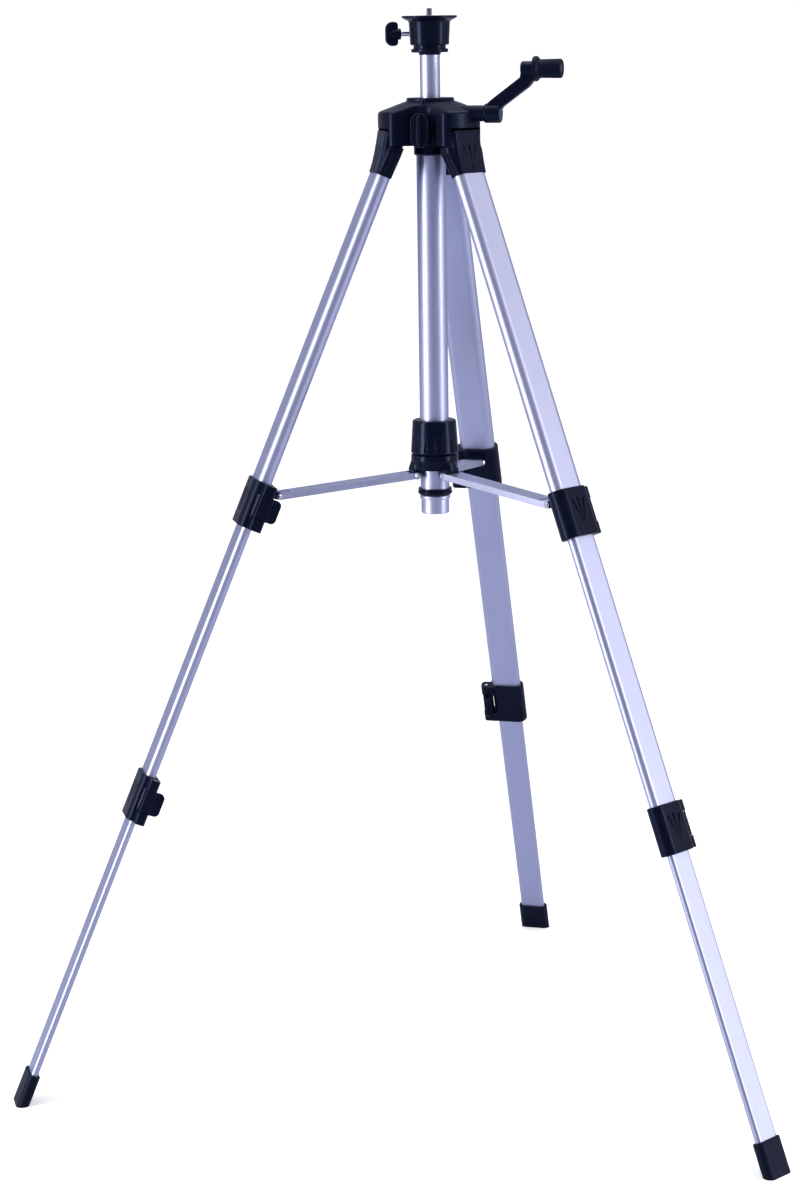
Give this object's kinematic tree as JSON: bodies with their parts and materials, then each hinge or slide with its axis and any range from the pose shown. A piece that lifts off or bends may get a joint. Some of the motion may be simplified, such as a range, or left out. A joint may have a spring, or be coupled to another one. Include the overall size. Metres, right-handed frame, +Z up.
{
  "type": "surveyor tripod",
  "caption": "Elevating surveyor's tripod: telescopic obround legs with lever clamps, a folding mid-level spreader and a crank-raised pole with a screw platform.",
  "frame": {"origin": "on the ground under the column's axis", "axes": "+Z up along the column; the legs stand at azimuths -45, 75 and 195 degrees from +X towards +Y"},
  "size_m": [0.8542, 0.8542, 1.2082],
  "materials": {
    "anodised_tube": "satin clear anodised",
    "bright_pole": "polished, clear anodised",
    "brace_channel": "bright rolled channel",
    "black_moulding": "satin moulded, fine grain",
    "black_gloss_moulding": "semi-gloss moulded",
    "black_rubber": "matt rubber",
    "steel_pin": "turned",
    "bright_rivet": "bright plated",
    "dark_screw": "oiled black steel",
    "gear_brass": "machined",
    "rack_plastic": "moulded acetal"
  },
  "bodies": {
    "head": {"head_housing": "black_moulding", "leg_hinge_pins": "steel_pin", "column_tube": "anodised_tube", "stop_ring": "black_gloss_moulding", "column_end_plug": "bright_pole"},
    "pole_lock": {"lock_knob": "black_gloss_moulding", "lock_stud": "steel_pin"},
    "crank": {"crank_shaft": "steel_pin", "pinion": "gear_brass", "crank_arm": "black_gloss_moulding", "grip_bolt": "dark_screw"},
    "grip": {"crank_grip": "black_moulding"},
    "pole": {"pole_tube": "bright_pole", "pole_rack": "rack_plastic"},
    "platform": {"platform": "black_gloss_moulding", "instrument_screw": "dark_screw"},
    "platform_lock": {"platform_knob": "black_moulding", "platform_knob_shaft": "bright_rivet"},
    "hub": {"spreader_hub": "black_gloss_moulding", "hub_rivets": "bright_rivet"},
    "nut": {"lock_nut": "black_gloss_moulding"},
    "leg_right": {"leg_socket_right": "black_moulding", "upper_tube_right": "anodised_tube", "upper_collar_right": "black_moulding", "upper_lever_pin_right": "steel_pin"},
    "upper_clamp_right": {"upper_lever_right": "black_moulding"},
    "middle_right": {"middle_tube_right": "anodised_tube", "lower_collar_right": "black_moulding", "lower_lever_pin_right": "steel_pin"},
    "lower_clamp_right": {"lower_lever_right": "black_moulding"},
    "lower_right": {"lower_tube_right": "anodised_tube", "foot_right": "black_rubber"},
    "brace_right": {"brace_arm_right": "brace_channel", "brace_rivets_right": "bright_rivet"},
    "leg_rear": {"leg_socket_rear": "black_moulding", "upper_tube_rear": "anodised_tube", "upper_collar_rear": "black_moulding", "upper_lever_pin_rear": "steel_pin"},
    "upper_clamp_rear": {"upper_lever_rear": "black_moulding"},
    "middle_rear": {"middle_tube_rear": "anodised_tube", "lower_collar_rear": "black_moulding", "lower_lever_pin_rear": "steel_pin"},
    "lower_clamp_rear": {"lower_lever_rear": "black_moulding"},
    "lower_rear": {"lower_tube_rear": "anodised_tube", "foot_rear": "black_rubber"},
    "brace_rear": {"brace_arm_rear": "brace_channel", "brace_rivets_rear": "bright_rivet"},
    "leg_left": {"leg_socket_left": "black_moulding", "upper_tube_left": "anodised_tube", "upper_collar_left": "black_moulding", "upper_lever_pin_left": "steel_pin"},
    "upper_clamp_left": {"upper_lever_left": "black_moulding"},
    "middle_left": {"middle_tube_left": "anodised_tube", "lower_collar_left": "black_moulding", "lower_lever_pin_left": "steel_pin"},
    "lower_clamp_left": {"lower_lever_left": "black_moulding"},
    "lower_left": {"lower_tube_left": "anodised_tube", "foot_left": "black_rubber"},
    "brace_left": {"brace_arm_left": "brace_channel", "brace_rivets_left": "bright_rivet"}
  },
  "joints": [
    {"name": "leg_fold_right", "type": "hinge", "parent": "head", "child": "leg_right", "pos_m": [0.02878, -0.02878, 1.07], "axis": [0.7071, 0.7071, 0], "range_deg": [0, 18]},
    {"name": "leg_fold_rear", "type": "hinge", "parent": "head", "child": "leg_rear", "pos_m": [0.01053, 0.03931, 1.07], "axis": [-0.9659, 0.2588, 0], "range_deg": [0, 18]},
    {"name": "leg_fold_left", "type": "hinge", "parent": "head", "child": "leg_left", "pos_m": [-0.03931, -0.01053, 1.07], "axis": [0.2588, -0.9659, 0], "range_deg": [0, 18]},
    {"name": "hub_slide", "type": "slide", "parent": "head", "child": "hub", "axis": [0, 0, 1], "range_m": [0, 0.1]},
    {"name": "brace_fold_right", "type": "hinge", "parent": "hub", "child": "brace_right", "pos_m": [0.01626, -0.01626, 0.695], "axis": [0.7071, 0.7071, 0], "range_deg": [0, 86]},
    {"name": "brace_fold_rear", "type": "hinge", "parent": "hub", "child": "brace_rear", "pos_m": [0.00595, 0.02222, 0.695], "axis": [-0.9659, 0.2588, 0], "range_deg": [0, 86]},
    {"name": "brace_fold_left", "type": "hinge", "parent": "hub", "child": "brace_left", "pos_m": [-0.02222, -0.00595, 0.695], "axis": [0.2588, -0.9659, 0], "range_deg": [0, 86]},
    {"name": "nut_turn", "type": "hinge", "parent": "hub", "child": "nut", "pos_m": [0, 0, 0.735], "axis": [0, 0, 1], "continuous": true},
    {"name": "middle_slide_right", "type": "slide", "parent": "leg_right", "child": "middle_right", "axis": [-0.2763, 0.2763, 0.9205], "range_m": [0, 0.29], "stiffness_N_per_m": 4000},
    {"name": "lower_slide_right", "type": "slide", "parent": "middle_right", "child": "lower_right", "axis": [-0.2763, 0.2763, 0.9205], "range_m": [0, 0.3], "stiffness_N_per_m": 4000},
    {"name": "upper_lever_right", "type": "hinge", "parent": "leg_right", "child": "upper_clamp_right", "pos_m": [0.16529, -0.12555, 0.67115], "axis": [0.2763, -0.2763, -0.9205], "range_deg": [0, 100]},
    {"name": "lower_lever_right", "type": "hinge", "parent": "middle_right", "child": "lower_clamp_right", "pos_m": [0.26077, -0.22492, 0.34658], "axis": [0.2763, -0.2763, -0.9205], "range_deg": [0, 100]},
    {"name": "middle_slide_rear", "type": "slide", "parent": "leg_rear", "child": "middle_rear", "axis": [-0.1011, -0.3774, 0.9205], "range_m": [0, 0.29], "stiffness_N_per_m": 4000},
    {"name": "lower_slide_rear", "type": "slide", "parent": "middle_rear", "child": "lower_rear", "axis": [-0.1011, -0.3774, 0.9205], "range_m": [0, 0.3], "stiffness_N_per_m": 4000},
    {"name": "upper_lever_rear", "type": "hinge", "parent": "leg_rear", "child": "upper_clamp_rear", "pos_m": [0.02609, 0.20592, 0.67115], "axis": [0.1011, 0.3774, -0.9205], "range_deg": [0, 100]},
    {"name": "lower_lever_rear", "type": "hinge", "parent": "middle_rear", "child": "lower_clamp_rear", "pos_m": [0.0644, 0.33829, 0.34658], "axis": [0.1011, 0.3774, -0.9205], "range_deg": [0, 100]},
    {"name": "middle_slide_left", "type": "slide", "parent": "leg_left", "child": "middle_left", "axis": [0.3774, 0.1011, 0.9205], "range_m": [0, 0.29], "stiffness_N_per_m": 4000},
    {"name": "lower_slide_left", "type": "slide", "parent": "middle_left", "child": "lower_left", "axis": [0.3774, 0.1011, 0.9205], "range_m": [0, 0.3], "stiffness_N_per_m": 4000},
    {"name": "upper_lever_left", "type": "hinge", "parent": "leg_left", "child": "upper_clamp_left", "pos_m": [-0.19138, -0.08037, 0.67115], "axis": [-0.3774, -0.1011, -0.9205], "range_deg": [0, 100]},
    {"name": "lower_lever_left", "type": "hinge", "parent": "middle_left", "child": "lower_clamp_left", "pos_m": [-0.32517, -0.11337, 0.34658], "axis": [-0.3774, -0.1011, -0.9205], "range_deg": [0, 100]},
    {"name": "pole_lift", "type": "slide", "parent": "head", "child": "pole", "axis": [0, 0, 1], "range_m": [0, 0.28]},
    {"name": "crank_turn", "type": "hinge", "parent": "head", "child": "crank", "pos_m": [-0.00466, -0.01739, 1.095], "axis": [0.9659, -0.2588, 0], "range_deg": [-1, 2293]},
    {"name": "grip_spin", "type": "hinge", "parent": "crank", "child": "grip", "pos_m": [0.13057, -0.05362, 1.142], "axis": [0.9659, -0.2588, 0], "continuous": true},
    {"name": "lock_turn", "type": "hinge", "parent": "head", "child": "pole_lock", "pos_m": [-0.01294, -0.0483, 1.078], "axis": [-0.2588, -0.9659, 0], "continuous": true},
    {"name": "platform_pan", "type": "hinge", "parent": "pole", "child": "platform", "pos_m": [0, 0, 1.19], "axis": [0, 0, 1], "continuous": true},
    {"name": "platform_knob_turn", "type": "hinge", "parent": "platform", "child": "platform_lock", "pos_m": [-0.0397, -0.00487, 1.1806], "axis": [-0.9925, -0.1219, 0], "continuous": true}
  ],
  "couplings": [
    {"joint": "leg_fold_rear", "follows": "leg_fold_right", "ratio": 1},
    {"joint": "leg_fold_left", "follows": "leg_fold_right", "ratio": 1},
    {"joint": "hub_slide", "follows": "leg_fold_right", "m_per_rad": 0.31831},
    {"joint": "brace_fold_right", "follows": "leg_fold_right", "ratio": 4.7778},
    {"joint": "brace_fold_rear", "follows": "leg_fold_right", "ratio": 4.7778},
    {"joint": "brace_fold_left", "follows": "leg_fold_right", "ratio": 4.7778},
    {"joint": "crank_turn", "follows": "pole_lift", "rad_per_m": 142.86}
  ]
}
